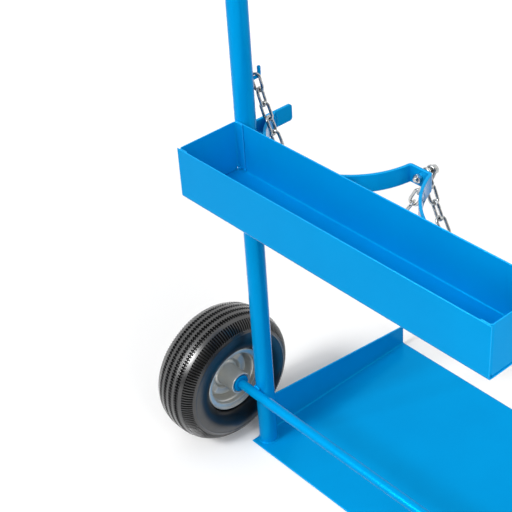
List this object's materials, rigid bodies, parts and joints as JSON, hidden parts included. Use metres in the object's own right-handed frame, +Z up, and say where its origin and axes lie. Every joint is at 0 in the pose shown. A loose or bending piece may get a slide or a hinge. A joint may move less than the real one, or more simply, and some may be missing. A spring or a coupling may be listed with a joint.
{
  "type": "gas cylinder cart",
  "caption": "Two-wheeled cart for a pair of gas cylinders, with a tube frame, flanged base plate, double saddle with retaining chains, storage tray and pneumatic wheels on a fixed axle",
  "frame": {"origin": "on the ground, on the base plate's underside, midway between the uprights and in the plane of their axes", "axes": "+X to the operator's right, +Y away from the operator towards the cylinders, +Z up"},
  "size_m": [0.873, 0.527, 1.1967],
  "materials": {
    "blue_paint": "gloss blue powder coat",
    "zinc_plate": "bright zinc plate",
    "rim_steel": "silver pressed steel",
    "bearing_steel": "ground steel",
    "tyre_rubber": "black moulded rubber",
    "tube_rubber": "black soft rubber"
  },
  "bodies": {
    "frame": {"frame_tube": "blue_paint", "base_plate": "blue_paint", "tray_channel": "blue_paint", "tray_end_left": "blue_paint", "tray_end_right": "blue_paint", "saddle_bar": "blue_paint", "saddle_ear_left": "blue_paint", "saddle_ear_right": "blue_paint", "chain_hook_left": "blue_paint", "chain_hook_right": "blue_paint", "axle": "blue_paint", "axle_collar_left": "blue_paint", "axle_collar_right": "blue_paint", "chain_bolt": "zinc_plate", "chain_nut": "zinc_plate", "chain_lock_nut": "zinc_plate", "axle_washer_left": "zinc_plate", "axle_washer_right": "zinc_plate", "split_pin_left": "zinc_plate", "split_pin_right": "zinc_plate"},
    "wheel_left": {"tyre_left": "tyre_rubber", "inner_tube_left": "tube_rubber", "rim_inner_left": "rim_steel", "rim_outer_left": "rim_steel", "hub_left": "rim_steel", "bearing_inner_left": "bearing_steel", "bearing_outer_left": "bearing_steel", "valve_stem_left": "tube_rubber", "valve_cap_left": "tube_rubber"},
    "wheel_right": {"tyre_right": "tyre_rubber", "inner_tube_right": "tube_rubber", "rim_inner_right": "rim_steel", "rim_outer_right": "rim_steel", "hub_right": "rim_steel", "bearing_inner_right": "bearing_steel", "bearing_outer_right": "bearing_steel", "valve_stem_right": "tube_rubber", "valve_cap_right": "tube_rubber"},
    "chain_left": {"chain_left": "zinc_plate"},
    "chain_right": {"chain_right": "zinc_plate"}
  },
  "joints": [
    {"name": "left_wheel_turn", "type": "hinge", "parent": "frame", "child": "wheel_left", "pos_m": [-0.3865, -0.02605, 0.129], "axis": [1, 0, 0], "continuous": true},
    {"name": "right_wheel_turn", "type": "hinge", "parent": "frame", "child": "wheel_right", "pos_m": [0.3865, -0.02605, 0.129], "axis": [1, 0, 0], "continuous": true},
    {"name": "left_chain_swing", "type": "hinge", "parent": "frame", "child": "chain_left", "pos_m": [-0.30147, 0.02608, 0.73954], "axis": [0.8762, 0.347, -0.3344], "range_deg": [-2, 20]},
    {"name": "right_chain_swing", "type": "hinge", "parent": "frame", "child": "chain_right", "pos_m": [0.30171, 0.02606, 0.73947], "axis": [0.9234, -0.2625, 0.2802], "range_deg": [0, 12]}
  ]
}
